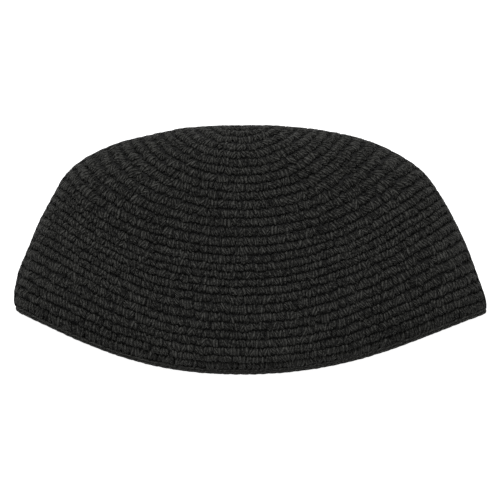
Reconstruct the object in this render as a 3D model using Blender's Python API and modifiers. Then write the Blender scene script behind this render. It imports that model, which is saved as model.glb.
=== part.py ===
"""A crocheted skullcap folded in half and lying on its side, as a hollow ribbed shell.

The crown's centre lies on the fold, at +Y, and the mouth opens towards -Y. One layer lies on the
floor, the other arches over it. A separate round of yarn finishes the rim.
"""

import math
from collections import namedtuple

import bmesh
import bpy
from mathutils import Vector

# Driving dimensions, in metres
WIDTH = 0.230  # corner to corner, along the folded rim
DEPTH = 0.1186  # crown fold to the end of the last round, down the middle
HEIGHT = 0.036  # floor to the top of the upper layer
WALL = 0.0032  # thickness of the crochet
GROOVE = 0.0006  # depth of the groove between two rounds
EDGE_CORD = 0.0024  # diameter of the finishing round
EDGE_GAP = 0.0003  # clearance between the finishing round and the last round
PRESSED = 0.004  # height under which the lower layer's ribs are pressed flat

# Counts
ROUNDS = 31  # rounds of crochet from the crown's centre to the rim
AROUND = 44  # points around each ring
CROWDING = 0.3  # how far those points crowd towards the two folds
CORD_SIDES = 2  # the bevel resolution of the finishing round

# Each section is one ring of the cap, at a share of the way from the crown's centre to the rim.
# left and right: its two folds, as shares of half of WIDTH from the middle of the cap
# left_drop, right_drop, mid_drop: how far below the crown it lies, as shares of DEPTH
# left_turn, right_turn: how steeply it runs up to each fold, in degrees
# fold, top, base: heights of the folds, the upper layer and the lower layer, as shares of HEIGHT
# where a height is below 0, the lower layer is pressed flat on the floor
# top_square, base_square: 2 is a round end at the folds, more is a flatter layer with a tighter bend
Section = namedtuple(
    "Section",
    "share left right left_drop right_drop mid_drop left_turn right_turn "
    "fold top base top_square base_square",
)
SECTIONS = [
    Section(0.000, 0.036, -0.036, 0.000, 0.000, 0.000, 1, 1, 0.50, 0.500, 0.500, 2.0, 2.0),
    Section(0.032, 0.091, 0.006, 0.000, 0.000, 0.005, 11, 10, 0.50, 0.622, 0.378, 2.0, 2.0),
    Section(0.065, 0.138, 0.053, 0.001, 0.000, 0.018, 20, 18, 0.50, 0.738, 0.262, 2.0, 2.0),
    Section(0.097, 0.186, 0.102, 0.004, 0.001, 0.040, 28, 26, 0.50, 0.838, 0.162, 2.0, 2.0),
    Section(0.161, 0.288, 0.195, 0.012, 0.008, 0.102, 47, 42, 0.49, 0.970, 0.025, 2.3, 2.3),
    Section(0.194, 0.331, 0.242, 0.020, 0.012, 0.137, 53, 49, 0.48, 0.996, -0.002, 2.7, 2.8),
    Section(0.258, 0.415, 0.331, 0.037, 0.025, 0.205, 62, 57, 0.47, 1.000, -0.010, 3.2, 3.6),
    Section(0.355, 0.551, 0.479, 0.070, 0.057, 0.307, 64, 59, 0.44, 0.995, -0.010, 4.0, 5.5),
    Section(0.452, 0.708, 0.648, 0.139, 0.131, 0.418, 52, 45, 0.40, 0.985, -0.010, 4.7, 8.5),
    Section(0.516, 0.788, 0.737, 0.209, 0.197, 0.494, 44, 37, 0.38, 0.970, -0.010, 5.2, 11.0),
    Section(0.581, 0.831, 0.788, 0.279, 0.262, 0.564, 40, 34, 0.35, 0.950, -0.010, 5.8, 13.0),
    Section(0.710, 0.894, 0.860, 0.393, 0.381, 0.693, 33, 31, 0.31, 0.900, -0.010, 6.8, 17.0),
    Section(0.806, 0.936, 0.919, 0.492, 0.504, 0.805, 29, 26, 0.28, 0.860, -0.010, 7.5, 20.0),
    Section(0.903, 0.983, 0.966, 0.611, 0.635, 0.910, 27, 22, 0.25, 0.800, -0.010, 8.2, 23.0),
    Section(0.952, 0.993, 0.985, 0.673, 0.694, 0.963, 26, 20, 0.24, 0.730, -0.010, 8.5, 24.0),
    Section(1.000, 1.000, 1.000, 0.734, 0.750, 1.000, 26, 20, 0.22, 0.590, -0.010, 8.8, 25.0),
]
MIDDLE = -0.036  # the line down the middle of the cap, as a share of half of WIDTH
MIDDLE_HANDLE = 0.45  # lengths of a ring's curve handles at the middle and at the folds,
FOLD_HANDLE = 0.35  # as shares of the way between the two across the cap

YARN = (0.020, 0.020, 0.019)  # black cotton
EDGE_YARN = (0.015, 0.015, 0.014)
YARN_ROUGHNESS = 0.9


def clear_scene():
    for old in list(bpy.data.objects):
        bpy.data.objects.remove(old)


def through(shares, values):
    """A smooth curve through the values that never swings past them, as a function of share."""
    spans = [b - a for a, b in zip(shares, shares[1:])]
    rises = [(b - a) / span for a, b, span in zip(values, values[1:], spans)]
    slopes = [rises[0]]
    for i in range(1, len(rises)):
        before, after = rises[i - 1], rises[i]
        if before * after <= 0:
            slopes.append(0.0)
            continue
        near = 2 * spans[i] + spans[i - 1]
        far = spans[i] + 2 * spans[i - 1]
        slopes.append((near + far) / (near / before + far / after))
    slopes.append(rises[-1])

    def value(share):
        i = max(k for k in range(len(spans)) if k == 0 or shares[k] <= share)
        t = (share - shares[i]) / spans[i]
        start = (1 + 2 * t) * (1 - t) ** 2 * values[i] + t * (1 - t) ** 2 * spans[i] * slopes[i]
        end = t * t * (3 - 2 * t) * values[i + 1] - t * t * (1 - t) * spans[i] * slopes[i + 1]
        return start + end

    return value


CURVES = {
    column: through([s.share for s in SECTIONS], [getattr(s, column) for s in SECTIONS])
    for column in Section._fields
}


def section_at(share):
    return Section(**{column: curve(share) for column, curve in CURVES.items()})


def along_ring(section, across):
    """Where the ring lies seen from above: across is -1 at the left fold and 1 at the right one."""
    half = WIDTH / 2
    middle = Vector((MIDDLE * half, -section.mid_drop * DEPTH))
    if across < 0:
        fold = Vector((-section.left * half, -section.left_drop * DEPTH))
        turn = math.radians(section.left_turn)
    else:
        fold = Vector((section.right * half, -section.right_drop * DEPTH))
        turn = math.radians(section.right_turn)
    reach = fold.x - middle.x
    first = middle + Vector((MIDDLE_HANDLE * reach, 0))
    second = fold - FOLD_HANDLE * Vector((reach * math.cos(turn), abs(reach) * math.sin(turn)))
    t = abs(across)
    return (
        middle * (1 - t) ** 3
        + first * 3 * t * (1 - t) ** 2
        + second * 3 * t * t * (1 - t)
        + fold * t**3
    )


def surface_point(share, turn):
    """A point of the outer face: share runs from crown to rim, turn once round the ring."""
    section = section_at(share)
    across = math.cos(turn)
    plan = along_ring(section, across)
    upper = math.sin(turn) >= 0
    layer = section.top if upper else section.base
    square = section.top_square if upper else section.base_square
    lift = math.sqrt(max(0.0, 1 - abs(across) ** square))
    height = section.fold + (layer - section.fold) * lift
    return Vector((plan.x, plan.y, HEIGHT * max(0.0, height)))


def outward(share, turn):
    """The outer face's normal."""
    step = 1e-3
    lower, upper = max(share - step, step), min(share + step, 1.0)
    down = surface_point(upper, turn) - surface_point(lower, turn)
    round_ring = surface_point(share, turn + step) - surface_point(share, turn - step)
    return round_ring.cross(down).normalized()


def ribbed_point(share, turn):
    """The outer face with a groove between each two rounds, pressed out where it lies on the floor."""
    point = surface_point(share, turn)
    normal = outward(share, turn)
    free = min(1.0, point.z / PRESSED) if normal.z < 0 else 1.0
    depth = GROOVE * free * (0.5 + 0.5 * math.cos(2 * math.pi * ROUNDS * share))
    return point - normal * depth


def ring_turns():
    """Turns of the points around a ring, crowded towards the folds."""
    even = [2 * math.pi * k / AROUND for k in range(AROUND)]
    return [turn - CROWDING * math.sin(2 * turn) / 2 for turn in even]


def material(name, colour):
    made = bpy.data.materials.new(name)
    made.use_nodes = True
    shader = made.node_tree.nodes["Principled BSDF"]
    shader.inputs["Base Color"].default_value = (*colour, 1.0)
    shader.inputs["Roughness"].default_value = YARN_ROUGHNESS
    shader.inputs["Metallic"].default_value = 0.0
    return made


def crochet_cap():
    """The cap's body: rings lofted from the crown's centre to the rim, thickened inwards."""
    turns = ring_turns()
    shares = [k / (2 * ROUNDS) for k in range(1, 2 * ROUNDS + 1)]
    shell = bmesh.new()
    centre = shell.verts.new(surface_point(0.0, 0.0))
    rings = [[shell.verts.new(ribbed_point(share, turn)) for turn in turns] for share in shares]
    for k in range(AROUND):
        after = (k + 1) % AROUND
        shell.faces.new((centre, rings[0][after], rings[0][k]))
        for inner, outer in zip(rings, rings[1:]):
            shell.faces.new((inner[k], inner[after], outer[after], outer[k]))
    mesh = bpy.data.meshes.new("crochet_cap")
    shell.to_mesh(mesh)
    shell.free()
    mesh.materials.append(material("black_cotton", YARN))
    mesh.shade_smooth()
    cap = bpy.data.objects.new("crochet_cap", mesh)
    thickness = cap.modifiers.new("wall", "SOLIDIFY")
    thickness.thickness = WALL
    thickness.offset = -1
    thickness.use_even_offset = False
    return cap


def edge_round():
    """The finishing round: a cord along the rim, just past the end of the last round."""
    step = 1e-3
    points = []
    for turn in ring_turns():
        rim = surface_point(1.0, turn)
        onward = (rim - surface_point(1.0 - step, turn)).normalized()
        inside = -outward(1.0, turn)
        points.append(rim + inside * WALL / 2 + onward * (EDGE_GAP + EDGE_CORD / 2))
    line = bpy.data.curves.new("edge_round", "CURVE")
    line.dimensions = "3D"
    line.bevel_depth = EDGE_CORD / 2
    line.bevel_resolution = CORD_SIDES
    spline = line.splines.new("POLY")
    spline.points.add(len(points) - 1)
    for place, point in zip(spline.points, points):
        place.co = (*point, 1.0)
    spline.use_cyclic_u = True
    line.materials.append(material("edge_cotton", EDGE_YARN))
    return bpy.data.objects.new("edge_round", line)


def stand_on_floor(frame, pieces):
    """Moves the parent so that the origin is under the middle of the whole cap."""
    bpy.context.view_layer.update()
    graph = bpy.context.evaluated_depsgraph_get()
    corners = []
    for piece in pieces:
        shown = piece.evaluated_get(graph)
        mesh = shown.to_mesh()
        corners += [shown.matrix_world @ v.co for v in mesh.vertices]
        shown.to_mesh_clear()
    low = [min(c[axis] for c in corners) for axis in range(3)]
    high = [max(c[axis] for c in corners) for axis in range(3)]
    frame.location = (-(low[0] + high[0]) / 2, -(low[1] + high[1]) / 2, -low[2])


def main():
    clear_scene()
    collection = bpy.data.collections.new("skullcap")
    bpy.context.scene.collection.children.link(collection)
    frame = bpy.data.objects.new("skullcap_frame", None)
    collection.objects.link(frame)
    pieces = [crochet_cap(), edge_round()]
    for piece in pieces:
        collection.objects.link(piece)
        piece.parent = frame
    stand_on_floor(frame, pieces)


main()
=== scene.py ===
"""The looks of the folded crocheted skullcap: every stitch is made of its own plied yarn.

The cap lies on one layer, seen straight from above. Its rounds run from the crown, on the fold at
+Y, to the open rim at -Y. Lengths are in metres.
"""

import math
from collections import namedtuple

import bpy
import numpy as np
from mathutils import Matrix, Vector


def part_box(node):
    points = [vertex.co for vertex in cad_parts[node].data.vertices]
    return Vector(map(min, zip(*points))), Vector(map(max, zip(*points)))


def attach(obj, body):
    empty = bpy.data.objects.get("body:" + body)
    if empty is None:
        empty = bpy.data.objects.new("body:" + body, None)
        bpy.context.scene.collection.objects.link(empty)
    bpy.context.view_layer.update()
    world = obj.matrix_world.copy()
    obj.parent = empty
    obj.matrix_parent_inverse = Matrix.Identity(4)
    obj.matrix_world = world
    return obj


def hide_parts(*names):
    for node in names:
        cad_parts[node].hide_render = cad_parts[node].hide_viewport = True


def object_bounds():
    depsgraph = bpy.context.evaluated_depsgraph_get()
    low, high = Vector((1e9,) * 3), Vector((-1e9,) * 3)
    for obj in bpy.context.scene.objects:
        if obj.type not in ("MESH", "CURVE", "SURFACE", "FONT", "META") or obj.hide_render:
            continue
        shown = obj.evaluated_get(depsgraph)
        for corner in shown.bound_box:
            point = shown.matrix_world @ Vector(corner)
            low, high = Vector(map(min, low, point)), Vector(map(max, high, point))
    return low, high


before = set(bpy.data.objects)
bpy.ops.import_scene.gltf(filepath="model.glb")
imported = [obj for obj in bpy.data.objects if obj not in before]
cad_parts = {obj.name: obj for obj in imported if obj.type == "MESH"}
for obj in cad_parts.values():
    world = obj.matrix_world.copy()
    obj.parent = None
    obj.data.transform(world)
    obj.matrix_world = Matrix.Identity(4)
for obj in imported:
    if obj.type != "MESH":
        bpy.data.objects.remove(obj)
CAD_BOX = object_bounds()
CAP_LOW, CAP_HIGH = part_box("crochet_cap")
CAP_SIZE = CAP_HIGH - CAP_LOW

# The sections are those of the part's own source: one ring of the cap in each row, with its two
# folds, its middle, its slopes at the folds and its heights, as shares of the cap's size
Section = namedtuple(
    "Section",
    "share left right left_drop right_drop mid_drop left_turn right_turn "
    "fold top base top_square base_square",
)
SECTIONS = [
    Section(0.000, 0.036, -0.036, 0.000, 0.000, 0.000, 1, 1, 0.50, 0.500, 0.500, 2.0, 2.0),
    Section(0.032, 0.091, 0.006, 0.000, 0.000, 0.005, 11, 10, 0.50, 0.622, 0.378, 2.0, 2.0),
    Section(0.065, 0.138, 0.053, 0.001, 0.000, 0.018, 20, 18, 0.50, 0.738, 0.262, 2.0, 2.0),
    Section(0.097, 0.186, 0.102, 0.004, 0.001, 0.040, 28, 26, 0.50, 0.838, 0.162, 2.0, 2.0),
    Section(0.161, 0.288, 0.195, 0.012, 0.008, 0.102, 47, 42, 0.49, 0.970, 0.025, 2.3, 2.3),
    Section(0.194, 0.331, 0.242, 0.020, 0.012, 0.137, 53, 49, 0.48, 0.996, -0.002, 2.7, 2.8),
    Section(0.258, 0.415, 0.331, 0.037, 0.025, 0.205, 62, 57, 0.47, 1.000, -0.010, 3.2, 3.6),
    Section(0.355, 0.551, 0.479, 0.070, 0.057, 0.307, 64, 59, 0.44, 0.995, -0.010, 4.0, 5.5),
    Section(0.452, 0.708, 0.648, 0.139, 0.131, 0.418, 52, 45, 0.40, 0.985, -0.010, 4.7, 8.5),
    Section(0.516, 0.788, 0.737, 0.209, 0.197, 0.494, 44, 37, 0.38, 0.970, -0.010, 5.2, 11.0),
    Section(0.581, 0.831, 0.788, 0.279, 0.262, 0.564, 40, 34, 0.35, 0.950, -0.010, 5.8, 13.0),
    Section(0.710, 0.894, 0.860, 0.393, 0.381, 0.693, 33, 31, 0.31, 0.900, -0.010, 6.8, 17.0),
    Section(0.806, 0.936, 0.919, 0.492, 0.504, 0.805, 29, 26, 0.28, 0.860, -0.010, 7.5, 20.0),
    Section(0.903, 0.983, 0.966, 0.611, 0.635, 0.910, 27, 22, 0.25, 0.800, -0.010, 8.2, 23.0),
    Section(0.952, 0.993, 0.985, 0.673, 0.694, 0.963, 26, 20, 0.24, 0.730, -0.010, 8.5, 24.0),
    Section(1.000, 1.000, 1.000, 0.734, 0.750, 1.000, 26, 20, 0.22, 0.590, -0.010, 8.8, 25.0),
]
MIDDLE = -0.036  # the line down the middle of the cap, as a share of half its width
MIDDLE_HANDLE = 0.45  # lengths of a ring's curve handles at the middle and at the folds,
FOLD_HANDLE = 0.35  # as shares of the way between the two across the cap
ROUNDS = 31
RINGS_FROM = 0.004  # the shares between which the rings' lengths are measured
RINGS_TO = 1.04

# The stitches: two legs of plied yarn each, which come up from the round before and go down under
# the next one. Across a round, v runs from -0.5 on the crown's side to 0.5 on the rim's side
STITCH = 0.0044  # width of a stitch along its round
SMALLEST_ROUND = 6  # stitches in the first round
ROUND_LAG = 0.37  # how far a round's first stitch lies past that of the round before, in stitches
LEGS_TOGETHER = 0.215  # how far a leg lies from the middle of its stitch on the crown's side,
LEGS_APART = 0.255  # and on the rim's side, in stitches
LEG = 0.00136  # half the width of a leg
LEG_FLAT = 0.80  # its height, as a share of its width
LEG_THINNER = 0.28  # how much thinner it is half a round from its middle, towards the crown
LEG_PROUD = 0.0001  # how far its crest stands out of the cap's even outer face
LEG_STEPS = 8
LEG_FROM = -0.64  # where a leg starts and ends
LEG_TO = 0.50
TIP = 0.40  # the length of its round end, which lies over the next round
TIP_CROWDING = 1.35  # how far its steps crowd towards that end
CREST = 0.06  # where it stands highest
DIVE_CROWN = 0.0019  # how deep it lies half a round from its crest, towards the crown
DIVE_RIM = 0.0015  # and towards the rim
DIVE_POWER = 2.0
DEEPEST = 0.0024  # the depth that no leg passes
LAST_REACH = 1.65  # how many times as far the last round's legs reach at the rim
LAST_DIVE = 0.3  # and how much of their dive is left there
PAST_LAST = 0.36  # how far past the last round a leg may reach, in rounds
NEAREST = 0.006  # how near the crown's centre a stitch may come, as a share of the way to the rim
PRESS = 0.0002  # how far the lower layer's stitches are pressed into the floor and flattened
PRESSED_FACE = -0.6  # what faces down further than this Z of its normal is pressed
STITCH_BANDS = [  # the rounds of each piece: the first, and the one after the last
    ("crown_stitches", 0, 14),
    ("shoulder_stitches", 14, 20),
    ("side_stitches", 20, 26),
    ("rim_stitches", 26, 31),
]

# The yarns: sides of a tube, its plies, and how far they stand out, as a share of its radius
Yarn = namedtuple("Yarn", "sides plies ply_depth")
LEG_YARN = Yarn(9, 3, 0.14)
BAR_YARN = Yarn(6, 2, 0.12)
LINK_YARN = Yarn(8, 2, 0.10)
EDGE_YARN = Yarn(12, 3, 0.12)
STRANDS = 6  # fine strands in a yarn, two to each ply of a leg
PLY_TURN = 0.25  # turns of the plies along one leg
SHORT_TURN = 0.5  # and along one bar or link
SWING = 0.03  # how far a leg swings sideways along its length, in stitches
SWING_TURN = 7.0  # how fast it swings, in radians from end to end
LUMP = 0.08  # how much thicker and thinner the yarn is along a leg
LUMP_PACE = 1.7  # how many times as fast as the swing that changes
SMALL_LUMP = 0.05  # the same for a second, finer unevenness
SMALL_LUMP_PACE = 2.6

# How uneven the stitches are: places in rounds or stitches, heights in metres, the rest as shares
SEED = 11  # of every random draw
WANDER = [(3, 0.04), (7, 0.035), (13, 0.025), (23, 0.02)]  # waves round a ring: number, size
WANDER_DRIFT = 0.35  # how far the waves of a round lie past those of the one before, in radians
ROW_SHIFT = 0.12  # how far the rounds lie past their even places half way down
STITCH_ACROSS = 0.025  # how much a stitch's place varies across its round
STITCH_ALONG = 0.03  # and along it
LEG_PLACE = 0.05  # how much the place of each of its legs varies both ways
LEAN = 0.03  # how far a leg leans along its round
LEAN_VARIES = 0.13
HEIGHT_VARIES = 0.0001
SIZE_VARIES = 0.09
DIVE_VARIES = 0.15
REACH_VARIES = 0.2
PLY_TURN_VARIES = 0.4  # in turns
BAR_VARIES = 0.05
LINK_VARIES = 0.04

# The folds, where the outer face points neither up nor down
FOLD_FULL = 0.1  # the Z of a normal, up or down, up to which the fold is full
FOLD_FADE = 0.5  # and how much more it is where the fold has ended
FOLD_STRETCH = 0.96  # how much less deep the legs dive there
FOLD_FLAT = 0.5  # how much flatter the yarn lies
FOLD_THICK = 0.05  # how much thicker it is
FOLD_EVEN = 0.8  # how much more even the stitches are
FOLD_PROUD = 0.0014  # how far the folds stand out at the rim
FOLD_POWER = 12  # the higher, the more of that is in the last rounds
CORNER_ROUND = 0.0014  # how far in the last round ends at the rim's two corners
CORNER_FROM = 0.955  # where that bend starts, as a share of the way from crown to rim

# The inner face and the layer between
BAR = 0.0006  # radius of the bars of yarn on the inner face
BAR_HALF = 0.55  # half the length of a bar, in stitches
BAR_STEPS = 5
BAR_BOW = 0.18  # how far its middle bows towards the rim, in rounds
BAR_DEPTH = 0.0026  # how deep its middle lies under the cap's outer face
BAR_RISE = 0.0004  # how much less deep its ends lie
CORE_OUTER = 0.0018  # depths of the two faces of the fabric's dense middle
CORE_INNER = 0.0025
CORE_RAISED = 0.0014  # how much nearer to the outer face it lies at the folds
CORE_AROUND = 132  # points around each of its rings
CORE_ROWS = 2 * ROUNDS
CORE_FROM = 0.012  # where it starts, as a share of the way from crown to rim

# The finishing round: a braid of links in two rows, over a plain strand
EDGE_LINKS = 112  # in each row
EDGE_MIDDLE = 0.0019  # how far past the last round its middle lies, at the left
EDGE_TIGHTER = 0.0006  # how much less at the right, where the rim is drawn in
EDGE_CORNER = 0.0024  # and how much less at the two corners, which the folds cut off
CORNER_POWER = 3  # the higher, the nearer to the folds the corners end
LEFT_CORNER = 0.3  # how much more of the left corner is cut off
CORNER_FULLER = 0.55  # how much less the finishing round bends in at the right corner
LINK = 0.00063  # radius of a link's strand
LINK_LENGTH = 1.5  # how long a link is, and how far before its place it starts,
LINK_LAG = 0.25  # both in distances from one link to the next
LINK_STEPS = 8
LINK_APART = 0.0003  # half the distance between the two rows at a link's ends
LINK_SWELL = 0.00038  # how much more it is at its middle
SWELL_POWER = 0.8
LINK_DEPTH = 0.0007  # how deep its ends lie under the cap's outer face
LINK_RISE = 0.0002  # how much less deep its middle lies
EDGE_UNDER = 0.00095  # radius of the strand under the braid
EDGE_UNDER_DEPTH = 0.0021
EDGE_UNDER_STEPS = 360
EDGE_UNDER_TURNS = 90.0  # turns of its plies once round the rim

# The finish of the yarn
COTTON_DARK = (0.004, 0.004, 0.0036)
COTTON_LIGHT = (0.0560, 0.0560, 0.0517)
COTTON_SHEEN = 0.006
# painted light: the finishing round is the same black cotton as the stitches, painted lighter
# because the rim's downturned face gets little light
LIGHTENED_EDGE_DARK = (0.014, 0.014, 0.0129)
LIGHTENED_EDGE_LIGHT = (0.080, 0.080, 0.0740)
EDGE_SHEEN = 0.008
VALLEY_PAINTED_SHADE = (0.004, 0.004, 0.0037)  # painted shade: the colour between two strands
# painted shade: the fabric's middle, painted darker than the yarn of the stitches
CORE_SHADE_DARK = (0.004, 0.004, 0.004)
CORE_SHADE_LIGHT = (0.010, 0.010, 0.010)
FIBRE_STRETCH = (2.0, 2.0, 8.5)  # how often the fibres' tone changes round the yarn and along it
BEND_STRETCH = (0.5, 0.5, 9.0)  # how often the tone of its bends does
FIBRE_SEED = 97.0  # how far apart the fibres and the bends of two yarns lie in their noise
BEND_SEED = 53.0
FIBRE_SHARE = 0.5  # the parts that the fibres, the bends, the patches and each leg's own shade
BEND_SHARE = 0.5  # have in the tone
PATCH_SHARE = 0.05
DRAW_SHARE = 0.03
RIM_PAINTED_LIGHT = 0.05  # painted light: how much paler the yarn is painted along the rim, whose face turns from the key lamp
RIM_LIGHT_FROM = -0.044  # where along Y that starts
RIM_LIGHT_FULL = -0.058  # and where it is full
TONE_DARK = 0.460  # the tones that come out darkest and lightest
TONE_LIGHT = 0.560
PAINTED_SHADE_LOW = -1.15  # painted shade between plies and strands: the heights of plies and strands that come out darkest and lightest
PAINTED_SHADE_HIGH = 0.45
# the parts of a ply's and a strand's height in that painted shade
PLY_SHARE = 0.45
STRAND_SHARE = 0.8
PAINTED_SUNK_FROM = 0.06  # painted shade in the grooves: up to this share of its length a leg is sunk in the round before,
PAINTED_SUNK_TO = 0.32  # and from this one on it lies on top
PAINTED_SUNK_SHADE = 0.1  # how much of its tone is left where it is sunk, under the painted shade
NOISE_LOW = 0.3  # the usual lowest and highest values of a noise texture
NOISE_HIGH = 0.7
YARN_ROUGH = 0.9
YARN_SMOOTH = 0.55
BUMP = 0.0018  # height of the strands and fibres
BUMP_STRANDS = 0.25  # the strands' part in it, to 1 for the fibres
FLOOR_GLOW = 0.86  # the floor's own light, with which it comes out white

# The camera, at the photograph's angle
PHOTO_PIXELS = 500
PHOTO_CAP_PIXELS = 473  # the cap's width in the photograph
PHOTO_CAP_MIDDLE = (250.5, 250.3)
CAMERA_HEIGHT = 2.5
OUTLINE_HEIGHT = 0.4  # height at which the outline is seen, as a share of the cap's height


# Shape of the cap


def through(column, at):
    """The smooth curve through a column of the table, at an array of shares."""
    shares = np.array([s.share for s in SECTIONS])
    values = np.array([getattr(s, column) for s in SECTIONS], float)
    spans = np.diff(shares)
    rises = np.diff(values) / spans
    slopes = np.zeros(len(values))
    slopes[0], slopes[-1] = rises[0], rises[-1]
    before, after = rises[:-1], rises[1:]
    near, far = 2 * spans[1:] + spans[:-1], spans[1:] + 2 * spans[:-1]
    same = before * after > 0
    slopes[1:-1][same] = (near + far)[same] / (near[same] / before[same] + far[same] / after[same])
    i = np.clip(np.searchsorted(shares, at, side="right") - 1, 0, len(spans) - 1)
    t = (at - shares[i]) / spans[i]
    start = (1 + 2 * t) * (1 - t) ** 2 * values[i] + t * (1 - t) ** 2 * spans[i] * slopes[i]
    end = t * t * (3 - 2 * t) * values[i + 1] - t * t * (1 - t) * spans[i] * slopes[i + 1]
    return start + end


def surface(share, turn):
    """Points of the outer face: share runs from crown to rim, turn once round the ring."""
    share, turn = np.broadcast_arrays(np.asarray(share, float), np.asarray(turn, float))
    at = Section(*[through(column, share) for column in Section._fields])
    across = np.cos(turn)
    side = np.where(across < 0, -1.0, 1.0)
    reach = np.where(across < 0, at.left, at.right)
    drop = np.where(across < 0, at.left_drop, at.right_drop)
    slope = np.radians(np.where(across < 0, at.left_turn, at.right_turn))
    half, depth = (CAD_BOX[1].x - CAD_BOX[0].x) / 2, CAP_SIZE.y
    middle_x = MIDDLE * half
    fold_x = side * reach * half
    wide = fold_x - middle_x
    middle_y, fold_y = -at.mid_drop * depth, -drop * depth
    second_x = fold_x - FOLD_HANDLE * wide * np.cos(slope)
    second_y = fold_y - FOLD_HANDLE * np.abs(wide) * np.sin(slope)
    t = np.abs(across)
    a, b, c, d = (1 - t) ** 3, 3 * t * (1 - t) ** 2, 3 * t * t * (1 - t), t**3
    x = a * middle_x + b * (middle_x + MIDDLE_HANDLE * wide) + c * second_x + d * fold_x
    y = (a + b) * middle_y + c * second_y + d * fold_y
    upper = np.sin(turn) >= 0
    layer = np.where(upper, at.top, at.base)
    square = np.where(upper, at.top_square, at.base_square)
    lift = np.sqrt(np.maximum(0.0, 1 - t**square))
    z = np.maximum(0.0, at.fold + (layer - at.fold) * lift)
    centre_x = (CAD_BOX[0].x + CAD_BOX[1].x) / 2
    return np.stack([centre_x + x, CAP_HIGH.y + y, CAP_LOW.z + z * CAP_SIZE.z], -1)


def unit(vectors):
    return vectors / np.maximum(np.linalg.norm(vectors, axis=-1, keepdims=True), 1e-12)


class Rings:
    """Turns a way round a ring, as a share of its length, into the turn that surface() takes."""

    def __init__(self, rows=ROUNDS * 8, steps=1440):
        self.shares = np.linspace(RINGS_FROM, RINGS_TO, rows)
        turns = np.linspace(0, 2 * math.pi, steps + 1)
        points = surface(self.shares[:, None], turns[None, :])
        pieces = np.linalg.norm(np.diff(points, axis=1), axis=-1)
        runs = np.concatenate([np.zeros((rows, 1)), np.cumsum(pieces, 1)], 1)
        self.lengths = runs[:, -1]
        self.even = np.linspace(0, 1, steps + 1)
        self.turns = np.array([np.interp(self.even, run / run[-1], turns) for run in runs])

    def length(self, share):
        return np.interp(share, self.shares, self.lengths)

    def turn(self, share, way):
        share, way = np.broadcast_arrays(np.asarray(share, float), np.asarray(way, float))
        loops = np.floor(way)
        row = np.interp(share, self.shares, np.arange(len(self.shares)))
        low = np.minimum(row.astype(int), len(self.shares) - 2)
        step = (way - loops) * (len(self.even) - 1)
        left = np.minimum(step.astype(int), len(self.even) - 2)
        r, s = row - low, step - left
        here = self.turns[low, left] * (1 - s) + self.turns[low, left + 1] * s
        next_row = self.turns[low + 1, left] * (1 - s) + self.turns[low + 1, left + 1] * s
        return here * (1 - r) + next_row * r + 2 * math.pi * loops

    def place(self, share, way):
        return surface(share, self.turn(share, way))

    def outward(self, share, way):
        """The outer face's normals."""
        step = 1e-3
        turn = self.turn(share, way)
        lower, upper = np.maximum(share - step, 1e-4), share + step
        down = surface(upper, turn) - surface(lower, turn)
        along = surface(share, turn + step) - surface(share, turn - step)
        return unit(np.cross(along, down))


rings = Rings()


# Building meshes from arrays


def mesh_object(name, points, quads, triangles, attributes):
    """An object from arrays of points, of four-sided and three-sided faces, and of point values."""
    mesh = bpy.data.meshes.new(name)
    loops = np.concatenate([quads.reshape(-1), triangles.reshape(-1)]).astype(np.int32)
    totals = np.concatenate([np.full(len(quads), 4), np.full(len(triangles), 3)])
    starts = np.concatenate([[0], np.cumsum(totals)[:-1]]).astype(np.int32)
    mesh.vertices.add(len(points))
    mesh.vertices.foreach_set("co", points.astype(np.float32).ravel())
    mesh.loops.add(len(loops))
    mesh.loops.foreach_set("vertex_index", loops)
    mesh.polygons.add(len(totals))
    mesh.polygons.foreach_set("loop_start", starts)
    for key, values in attributes.items():
        kind = "FLOAT_VECTOR" if values.ndim == 2 else "FLOAT"
        layer = mesh.attributes.new(key, kind, "POINT")
        field = "vector" if kind == "FLOAT_VECTOR" else "value"
        layer.data.foreach_set(field, values.astype(np.float32).ravel())
    mesh.update(calc_edges=True)
    mesh.validate()
    mesh.shade_smooth()
    made = bpy.data.objects.new(name, mesh)
    bpy.context.scene.collection.objects.link(made)
    return made


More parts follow.
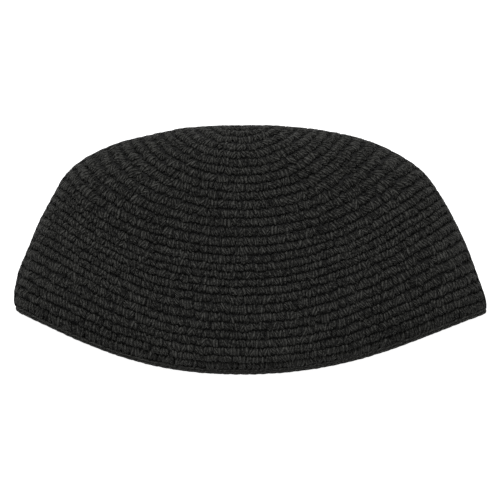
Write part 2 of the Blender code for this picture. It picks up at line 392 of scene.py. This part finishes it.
def yarns(paths, outs, radii, kind, turns, flat=1.0, phase=None, draw=None):
    """Closed tubes of one kind of yarn, pointed at both ends.

    paths and outs are (tube, step, 3) arrays: points, and the way that each tube's outer side
    faces. radii is (tube, step), turns the twist along a tube, and flat its height over its width,
    as a number or a (tube, step) array. phase and draw are each tube's own turn and shade.
    """
    sides, plies, ply_depth = kind
    count, steps = paths.shape[:2]
    tangents = unit(np.gradient(paths, axis=1))
    sideways = unit(np.cross(tangents, outs))
    ups = unit(np.cross(sideways, tangents))
    phase = np.zeros(count) if phase is None else phase
    draw = np.zeros(count) if draw is None else draw
    along = np.linspace(0, 1, steps)
    angles = 2 * math.pi * np.arange(sides) / sides
    twist = phase[:, None] + 2 * math.pi * np.reshape(turns, (-1, 1)) * along[None, :]
    angle = angles[None, None, :] + twist[..., None]
    lobe = np.cos(plies * angles)[None, None, :] * np.ones_like(angle)
    reach = radii[..., None] * (1 + ply_depth * lobe)
    offset = (np.cos(angle) * reach)[..., None] * sideways[:, :, None, :]
    flat = flat * np.ones((count, steps))
    offset = offset + (flat[..., None] * np.sin(angle) * reach)[..., None] * ups[:, :, None, :]
    rows = paths[:, :, None, :] + offset
    middle = rows[:, 1:-1]
    points = np.concatenate(
        [paths[:, :1], middle.reshape(count, (steps - 2) * sides, 3), paths[:, -1:]], 1
    )
    per_tube = points.shape[1]
    base = (np.arange(count) * per_tube)[:, None]
    ring = np.arange(sides)
    after = (ring + 1) % sides
    quads = []
    for row in range(steps - 3):
        here, there = 1 + row * sides, 1 + (row + 1) * sides
        face = np.stack([here + ring, here + after, there + after, there + ring], -1)
        quads.append(base[..., None] + face[None])
    quads = np.concatenate(quads, 1).reshape(-1, 4)
    last = 1 + (steps - 3) * sides
    start = np.stack([np.zeros(sides, int), 1 + after, 1 + ring], -1)
    end = np.stack([np.full(sides, per_tube - 1), last + ring, last + after], -1)
    triangles = (base[..., None] + np.concatenate([start, end])[None]).reshape(-1, 3)
    shape = (count, steps - 2, sides)
    fibre = np.stack(
        [
            np.broadcast_to(np.cos(angles), shape),
            np.broadcast_to(np.sin(angles), shape),
            np.broadcast_to(along[None, 1:-1, None], shape),
        ],
        -1,
    ).reshape(count, -1, 3)
    ends = np.zeros((count, 1, 3))
    fibre = np.concatenate([ends, fibre, ends + np.array([0, 0, 1.0])], 1).reshape(-1, 3)
    crown = np.broadcast_to(lobe[:, 1:-1], shape).reshape(count, -1)
    crown = np.concatenate([-np.ones((count, 1)), crown, -np.ones((count, 1))], 1).reshape(-1)
    each = np.repeat(draw, per_tube)
    return points.reshape(-1, 3), quads, triangles, {"fibre": fibre, "ply": crown, "draw": each}


def rest_on_floor(points):
    """Nothing reaches below the floor: what would is flattened on it."""
    points[:, 2] = np.maximum(points[:, 2], CAP_LOW.z)
    return points


# The stitches


def smooth_step(x):
    x = np.clip(x, 0, 1)
    return x * x * (3 - 2 * x)


def all_stitches():
    """Every stitch: its round, its way round the ring, and the width that it has there."""
    rounds, ways, widths = [], [], []
    lag = 0.0
    for k in range(ROUNDS):
        length = rings.length((k + 0.5) / ROUNDS)
        count = max(SMALLEST_ROUND, round(length / STITCH))
        lag = (lag + ROUND_LAG) % 1
        rounds.append(np.full(count, k))
        ways.append((np.arange(count) + lag) / count)
        widths.append(np.full(count, length / count))
    return np.concatenate(rounds), np.concatenate(ways), np.concatenate(widths)


def wave(rounds, ways, rng):
    """A slow wander of each round from its even place, in rounds."""
    wander = np.zeros(len(rounds))
    for frequency, size in WANDER:
        start = rng.uniform(0, 2 * math.pi)
        wander += size * np.sin(2 * math.pi * frequency * ways + start + WANDER_DRIFT * rounds)
    return wander


def fold(out):
    """1 where the cap is bent over a fold, 0 where its layers lie flat."""
    return 1 - smooth_step((np.abs(out[..., 2]) - FOLD_FULL) / FOLD_FADE)


def fold_proud(share):
    """How far the folds stand out: more towards the rim, and less again at its two corners."""
    bend = np.maximum(0, (share - CORNER_FROM) / (1 - CORNER_FROM))
    return FOLD_PROUD * share**FOLD_POWER - CORNER_ROUND * bend**2


def leg_profile(v):
    """A leg's thickness along its length, as a share: round at its end, thinner at its start."""
    tip = np.clip((v - LEG_TO + TIP) / TIP, 0, 1)
    return np.sqrt(1 - tip**2) * (1 - LEG_THINNER * np.minimum(2 * v, 0) ** 2)


def stitch_legs(rng):
    """Each stitch's round, and for its two legs their path, outer side, radii and flatness."""
    rounds, ways, widths = all_stitches()
    count = len(rounds)
    middles = (rounds + 0.5) / ROUNDS
    step_width = (widths / rings.length(middles))[:, None]
    along = np.linspace(0, 1, LEG_STEPS + 1)
    v = LEG_FROM + (LEG_TO - LEG_FROM) * (1 - (1 - along) ** TIP_CROWDING)
    spread = LEGS_TOGETHER + (LEGS_APART - LEGS_TOGETHER) * smooth_step(v + 0.5)
    at_rim = (rounds[:, None] == ROUNDS - 1) & (v > CREST)
    even_dive = np.where(v < CREST, DIVE_CROWN, DIVE_RIM) * np.abs(2 * (v - CREST)) ** DIVE_POWER
    even_dive = np.where(at_rim, LAST_DIVE, 1.0) * even_dive
    taper = leg_profile(v)
    shift_v = wave(rounds, ways, rng) + rng.normal(0, STITCH_ACROSS, count)
    shift_v = shift_v + ROW_SHIFT * np.sin(math.pi * middles)
    shift_u = rng.normal(0, STITCH_ALONG, count)
    legs = []
    for side in (-1, 1):
        lean = rng.normal(LEAN, LEAN_VARIES, count)[:, None]
        height = rng.normal(0, HEIGHT_VARIES, count)[:, None]
        size = rng.normal(0, SIZE_VARIES, count)[:, None]
        own_v = (shift_v + rng.normal(0, LEG_PLACE, count))[:, None]
        own_u = (shift_u + rng.normal(0, LEG_PLACE, count))[:, None]
        steep = rng.normal(1, DIVE_VARIES, count)[:, None]
        longer = rng.normal(1, REACH_VARIES, count)[:, None]
        swing = rng.uniform(0, 2 * math.pi, (2, count))[..., None] + SWING_TURN * along
        u = side * spread + lean * v + own_u + SWING * np.sin(swing[0])
        way = ways[:, None] + u * step_width
        lying = np.abs(rings.outward(middles[:, None], way)[..., 2])
        last = 1 + (LAST_REACH - 1) * smooth_step(2 * lying)
        longer = np.where(at_rim, last, longer)
        reach = np.where(v > CREST, CREST + longer * (v - CREST), v)
        share = (rounds[:, None] + 0.5 + reach + own_v) / ROUNDS
        share = np.clip(share, NEAREST, 1.0 + PAST_LAST / ROUNDS)
        place, out = rings.place(share, way), rings.outward(share, way)
        folded = fold(out)
        uneven = 1 - FOLD_EVEN * folded
        thick = LEG * np.minimum(1.0, widths / STITCH)[:, None] * (1 + uneven * size)
        flat = LEG_FLAT * (1 - FOLD_FLAT * folded)
        dive = DEEPEST * np.tanh(even_dive * steep / DEEPEST) * (1 - FOLD_STRETCH * folded)
        followed = FOLD_STRETCH * folded * (1 - taper)
        pressed = PRESS * (out[..., 2] < PRESSED_FACE)
        depth = dive + thick * flat * (1 - followed) + height * uneven
        depth = depth - LEG_PROUD - folded * fold_proud(share) - pressed
        lumps = LUMP * np.sin(LUMP_PACE * swing[1])
        lumps = lumps + SMALL_LUMP * np.sin(SMALL_LUMP_PACE * swing[0])
        radii = thick * taper * (1 + uneven * lumps) * (1 + FOLD_THICK * folded)
        legs.append((place - out * depth[..., None], out, radii, flat))
    return rounds, legs


def make_legs(rng, material):
    """The legs of all stitches, in one piece for each band of rounds."""
    rounds, legs = stitch_legs(rng)
    for name, first, last in STITCH_BANDS:
        chosen = (rounds >= first) & (rounds < last)
        paths, outs, radii, flat = (
            np.concatenate([leg[part][chosen] for leg in legs]) for part in range(4)
        )
        count = len(paths)
        turns = rng.normal(PLY_TURN, PLY_TURN_VARIES, count)
        phase = rng.uniform(0, 2 * math.pi, count)
        draw = rng.uniform(0, 1, count)
        points, quads, triangles, values = yarns(
            paths, outs, radii, LEG_YARN, turns, flat, phase, draw
        )
        made = mesh_object(name, rest_on_floor(points), quads, triangles, values)
        dress(made, material, "crochet_cap")


def make_core(material):
    """The dense middle of the fabric, behind the legs of the stitches: a dark shell in painted
    shade.
    """
    ways = np.arange(CORE_AROUND) / CORE_AROUND
    shares = np.linspace(CORE_FROM, 1.0, CORE_ROWS)[:, None]
    place, out = rings.place(shares, ways), rings.outward(shares, ways)
    raised = ((CORE_RAISED + fold_proud(shares)) * fold(out))[..., None]
    outer = (place - out * (CORE_OUTER - raised)).reshape(-1, 3)
    inner = (place - out * (CORE_INNER - raised)).reshape(-1, 3)
    points = np.concatenate([outer, inner])
    ring = np.arange(CORE_AROUND)
    after = (ring + 1) % CORE_AROUND
    quads = []
    for row in range(CORE_ROWS - 1):
        here, there = row * CORE_AROUND, (row + 1) * CORE_AROUND
        face = np.stack([here + ring, here + after, there + after, there + ring], -1)
        quads += [face, CORE_ROWS * CORE_AROUND + face[:, ::-1]]
    for row, flip in ((0, False), (CORE_ROWS - 1, True)):
        here, there = row * CORE_AROUND, (CORE_ROWS + row) * CORE_AROUND
        face = np.stack([here + ring, there + ring, there + after, here + after], -1)
        quads.append(face[:, ::-1] if flip else face)
    made = mesh_object("fabric_core", points, np.concatenate(quads), np.zeros((0, 3), int), {})
    dress(made, material, "crochet_cap")


def make_bars(rng, material):
    """The short bars of yarn that the stitches show on the cap's inner face."""
    rounds, ways, widths = all_stitches()
    count = len(rounds)
    u = np.linspace(-BAR_HALF, BAR_HALF, BAR_STEPS + 1)
    share = (rounds[:, None] + 0.5 + BAR_BOW * np.cos(math.pi * u)) / ROUNDS
    share = share + rng.normal(0, BAR_VARIES, count)[:, None] / ROUNDS
    share = np.clip(share, NEAREST, 1.0)
    way = ways[:, None] + u * (widths / rings.length((rounds + 0.5) / ROUNDS))[:, None]
    place, out = rings.place(share, way), rings.outward(share, way)
    depth = BAR_DEPTH - BAR_RISE * (2 * u) ** 2
    radii = BAR * (1 + rng.normal(0, BAR_VARIES, count))[:, None] * np.ones(len(u))
    phase = rng.uniform(0, 2 * math.pi, count)
    draw = rng.uniform(0, 1, count)
    paths = place - out * depth[:, None]
    points, quads, triangles, values = yarns(
        paths, -out, radii, BAR_YARN, SHORT_TURN, phase=phase, draw=draw
    )
    made = mesh_object("inside_bars", rest_on_floor(points), quads, triangles, values)
    dress(made, material, "crochet_cap")


# The finishing round


def rim_frame(way):
    """The finishing round's middle line, the way past the rim there and its outward side."""
    rim, before = rings.place(1.0, way), rings.place(1.0 - 1e-3, way)
    onward, out = unit(rim - before), rings.outward(np.ones_like(way), way)
    right = smooth_step(rim[..., 0] / CAP_HIGH.x + 0.5)
    corner = (1 - np.abs(out[..., 2])) ** CORNER_POWER
    corner = corner * (1 + LEFT_CORNER * (1 - right))
    reach = EDGE_MIDDLE - EDGE_TIGHTER * right - EDGE_CORNER * corner
    inward = CORNER_ROUND * corner * (1 - CORNER_FULLER * right)
    return rim + onward * reach[..., None] - out * inward[..., None], onward, out


def make_braid(rng, material):
    """The braid of slip stitches on the rim's outer side: two rows of links."""
    along = np.linspace(0, 1, LINK_STEPS + 1)
    swell = np.sin(math.pi * along) ** SWELL_POWER
    depth = LINK_DEPTH - LINK_RISE * swell
    way = (np.arange(EDGE_LINKS)[:, None] + LINK_LENGTH * along - LINK_LAG) / EDGE_LINKS
    middle, onward, out = rim_frame(way)
    paths = []
    for side in (-1, 1):
        apart = side * (LINK_APART + LINK_SWELL * swell)
        paths.append(middle + onward * apart[:, None] - out * depth[:, None])
    count = 2 * EDGE_LINKS
    radii = LINK * (1 + rng.normal(0, LINK_VARIES, count))[:, None] * np.ones(len(along))
    phase = rng.uniform(0, 2 * math.pi, count)
    draw = rng.uniform(0, 1, count)
    points, quads, triangles, values = yarns(
        np.concatenate(paths), np.concatenate([out, out]), radii, LINK_YARN, SHORT_TURN,
        phase=phase, draw=draw,
    )
    made = mesh_object("edge_braid", rest_on_floor(points), quads, triangles, values)
    dress(made, material, "edge_round")


def make_strand(material):
    """The plain strand that the braid lies on."""
    way = np.linspace(0, 1, EDGE_UNDER_STEPS + 1)[None, :]
    middle, _, out = rim_frame(way)
    path = middle - out * EDGE_UNDER_DEPTH
    radii = np.full(way.shape, EDGE_UNDER)
    points, quads, triangles, values = yarns(path, out, radii, EDGE_YARN, EDGE_UNDER_TURNS)
    made = mesh_object("edge_strand", rest_on_floor(points), quads, triangles, values)
    dress(made, material, "edge_round")


def dress(piece, material, node):
    """Gives a piece its material, hangs it on the root body, and hides the part of the CAD model
    that it stands for.
    """
    piece.data.materials.append(material)
    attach(piece, "root")
    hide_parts(node)


# Materials


class Nodes:
    """A short way to write a material's nodes."""

    def __init__(self, name):
        self.material = bpy.data.materials.new(name)
        self.material.use_nodes = True
        self.tree = self.material.node_tree
        self.shader = self.tree.nodes["Principled BSDF"]

    def add(self, kind, settings=None, **inputs):
        node = self.tree.nodes.new(kind)
        for key, value in (settings or {}).items():
            setattr(node, key, value)
        for key, value in inputs.items():
            self.set(node.inputs[key], value)
        return node

    def set(self, socket, value):
        if isinstance(value, bpy.types.NodeSocket):
            self.tree.links.new(value, socket)
        else:
            socket.default_value = value

    def math(self, operation, a, b=0.0):
        node = self.add("ShaderNodeMath", {"operation": operation})
        self.set(node.inputs[0], a)
        self.set(node.inputs[1], b)
        return node.outputs[0]

    def own_noise(self, fibre, stretch, draw, spread, **inputs):
        """Noise stretched along a yarn, other for each tube of it."""
        mapping = self.add("ShaderNodeMapping", Vector=fibre, Scale=stretch)
        node = self.add("ShaderNodeTexNoise", {"noise_dimensions": "4D"}, Scale=1.0, **inputs)
        self.set(node.inputs["Vector"], mapping.outputs[0])
        self.set(node.inputs["W"], self.math("MULTIPLY", draw, spread))
        return node.outputs["Fac"]

    def span(self, value, low, high, to_low, to_high):
        """The value, moved from between low and high to between to_low and to_high."""
        node = self.add("ShaderNodeMapRange")
        self.set(node.inputs["Value"], value)
        self.set(node.inputs["From Min"], low)
        self.set(node.inputs["From Max"], high)
        self.set(node.inputs["To Min"], to_low)
        self.set(node.inputs["To Max"], to_high)
        return node.outputs["Result"]

    def mix(self, factor, dark, light):
        """A colour between the two, which are three numbers or a socket each."""
        node = self.add("ShaderNodeMix", {"data_type": "RGBA"})
        self.set(node.inputs["Factor"], factor)
        for place, colour in ((6, dark), (7, light)):
            self.set(node.inputs[place], (*colour, 1) if isinstance(colour, tuple) else colour)
        return node.outputs[2]


def yarn_material(name, dark, light, sheen):
    """Plied yarn: painted shade between its plies and strands and where each leg is sunk, painted
    light along the rim, and fibres of uneven tone.
    """
    n = Nodes(name)
    fibre = n.add("ShaderNodeAttribute", {"attribute_name": "fibre"}).outputs["Vector"]
    ply = n.add("ShaderNodeAttribute", {"attribute_name": "ply"}).outputs["Fac"]
    draw = n.add("ShaderNodeAttribute", {"attribute_name": "draw"}).outputs["Fac"]
    place = n.add("ShaderNodeTexCoord").outputs["Object"]
    around_and_along = n.add("ShaderNodeSeparateXYZ", Vector=fibre)
    angle = n.math("ARCTAN2", around_and_along.outputs["Y"], around_and_along.outputs["X"])
    strands = n.math("COSINE", n.math("MULTIPLY", angle, STRANDS))

    fibres = n.own_noise(fibre, FIBRE_STRETCH, draw, FIBRE_SEED, Detail=3.0, Roughness=0.72)
    bends = n.own_noise(fibre, BEND_STRETCH, draw, BEND_SEED, Detail=2.0)
    patches = n.add("ShaderNodeTexNoise", Vector=place, Scale=32.0, Detail=2.0).outputs["Fac"]
    tone = n.math("MULTIPLY", fibres, FIBRE_SHARE)
    tone = n.math("ADD", tone, n.math("MULTIPLY", bends, BEND_SHARE))
    tone = n.math("ADD", tone, n.math("MULTIPLY", patches, PATCH_SHARE))
    tone = n.math("ADD", tone, n.math("MULTIPLY", draw, DRAW_SHARE))
    where = n.add("ShaderNodeSeparateXYZ", Vector=place)
    # painted light: paler towards the rim, where the cap's face turns from the key lamp
    tone = n.math("ADD", tone, n.span(where.outputs["Y"], RIM_LIGHT_FROM, RIM_LIGHT_FULL, 0.0, RIM_PAINTED_LIGHT))
    shade = n.mix(n.span(tone, TONE_DARK, TONE_LIGHT, 0.0, 1.0), dark, light)

    # painted shade: the lower a point lies between the plies and strands, the darker its colour is
    # painted
    raised = n.math("MULTIPLY", ply, PLY_SHARE)
    raised = n.math("ADD", raised, n.math("MULTIPLY", strands, STRAND_SHARE))
    painted_lit = n.span(raised, PAINTED_SHADE_LOW, PAINTED_SHADE_HIGH, 0.0, 1.0)
    # painted shade: a leg is painted darker where it is sunk in the round before
    sunk = n.span(around_and_along.outputs["Z"], PAINTED_SUNK_FROM, PAINTED_SUNK_TO, PAINTED_SUNK_SHADE, 1.0)
    painted_lit = n.math("MULTIPLY", painted_lit, sunk)
    n.set(n.shader.inputs["Base Color"], n.mix(painted_lit, VALLEY_PAINTED_SHADE, shade))

    roughness = n.span(fibres, NOISE_LOW, NOISE_HIGH, YARN_ROUGH, YARN_SMOOTH)
    n.set(n.shader.inputs["Roughness"], roughness)
    n.set(n.shader.inputs["Specular IOR Level"], 0.1)
    n.set(n.shader.inputs["Sheen Weight"], sheen)
    n.set(n.shader.inputs["Sheen Roughness"], 0.45)
    height = n.math("ADD", n.math("MULTIPLY", strands, BUMP_STRANDS), fibres)
    bump = n.add("ShaderNodeBump", Strength=1.0, Distance=BUMP, Height=height)
    n.set(n.shader.inputs["Normal"], bump.outputs[0])
    return n.material


def core_material():
    """Tangled yarn in painted shade: it lies so deep between the stitches that little light comes
    back from it.
    """
    n = Nodes("cotton_depth_painted_shade")
    place = n.add("ShaderNodeTexCoord").outputs["Object"]
    noise = n.add("ShaderNodeTexNoise", Vector=place, Scale=900.0, Detail=3.0).outputs["Fac"]
    factor = n.span(noise, NOISE_LOW, NOISE_HIGH, 0.0, 1.0)
    n.set(n.shader.inputs["Base Color"], n.mix(factor, CORE_SHADE_DARK, CORE_SHADE_LIGHT))
    n.set(n.shader.inputs["Roughness"], 0.95)
    n.set(n.shader.inputs["Specular IOR Level"], 0.2)
    bump = n.add("ShaderNodeBump", Strength=0.6, Distance=0.0003, Height=noise)
    n.set(n.shader.inputs["Normal"], bump.outputs[0])
    return n.material


# Floor, light and camera


def make_floor():
    bpy.ops.mesh.primitive_plane_add(size=6, location=(0, 0, CAP_LOW.z))
    floor = bpy.context.object
    floor.name = "floor"
    n = Nodes("floor_white")
    n.set(n.shader.inputs["Base Color"], (0.5, 0.5, 0.5, 1))
    n.set(n.shader.inputs["Emission Color"], (1, 1, 1, 1))
    n.set(n.shader.inputs["Emission Strength"], FLOOR_GLOW)
    n.set(n.shader.inputs["Roughness"], 0.8)
    n.set(n.shader.inputs["Specular IOR Level"], 0.2)
    floor.data.materials.append(n.material)


def area_light(name, place, size, power):
    """A round lamp that faces the cap."""
    light = bpy.data.lights.new(name, "AREA")
    light.shape = "DISK"
    light.size = size
    light.energy = power
    holder = bpy.data.objects.new(name, light)
    bpy.context.scene.collection.objects.link(holder)
    holder.location = place
    holder.rotation_euler = (-Vector(place)).to_track_quat("-Z", "Y").to_euler()


def make_lights():
    area_light("key", (-0.15, 0.9, 1.25), 0.45, 26)
    area_light("top", (0.0, 0.1, 1.8), 1.6, 8)
    area_light("fill", (0.0, -1.4, 0.9), 1.0, 1.5)
    world = bpy.data.worlds.new("studio")
    world.use_nodes = True
    world.node_tree.nodes["Background"].inputs["Color"].default_value = (1, 1, 1, 1)
    world.node_tree.nodes["Background"].inputs["Strength"].default_value = 0.3
    bpy.context.scene.world = world


def make_camera():
    data = bpy.data.cameras.new("camera")
    camera = bpy.data.objects.new("camera", data)
    bpy.context.scene.collection.objects.link(camera)
    low, high = CAD_BOX
    metres = (high.x - low.x) / PHOTO_CAP_PIXELS
    away_x = (PHOTO_PIXELS / 2 - PHOTO_CAP_MIDDLE[0]) * metres
    away_y = (PHOTO_PIXELS / 2 - PHOTO_CAP_MIDDLE[1]) * metres
    middle = (low + high) / 2
    outline = low.z + OUTLINE_HEIGHT * (high.z - low.z)
    camera.location = (middle.x + away_x, middle.y - away_y, outline + CAMERA_HEIGHT)
    camera.rotation_euler = (0, 0, 0)
    data.lens = data.sensor_width * CAMERA_HEIGHT / (PHOTO_PIXELS * metres)
    data.clip_end = 10
    bpy.context.scene.camera = camera


def main():
    rng = np.random.default_rng(SEED)
    bpy.context.scene.view_settings.view_transform = "Standard"
    cotton = yarn_material("black_cotton_yarn", COTTON_DARK, COTTON_LIGHT, COTTON_SHEEN)
    # painted light: the finishing round's yarn is a lighter copy of the same cotton
    edge = yarn_material("edge_cotton_painted_light", LIGHTENED_EDGE_DARK, LIGHTENED_EDGE_LIGHT, EDGE_SHEEN)
    make_core(core_material())
    make_legs(rng, cotton)
    make_bars(rng, cotton)
    make_braid(rng, edge)
    make_strand(edge)
    make_floor()
    make_lights()
    make_camera()


main()
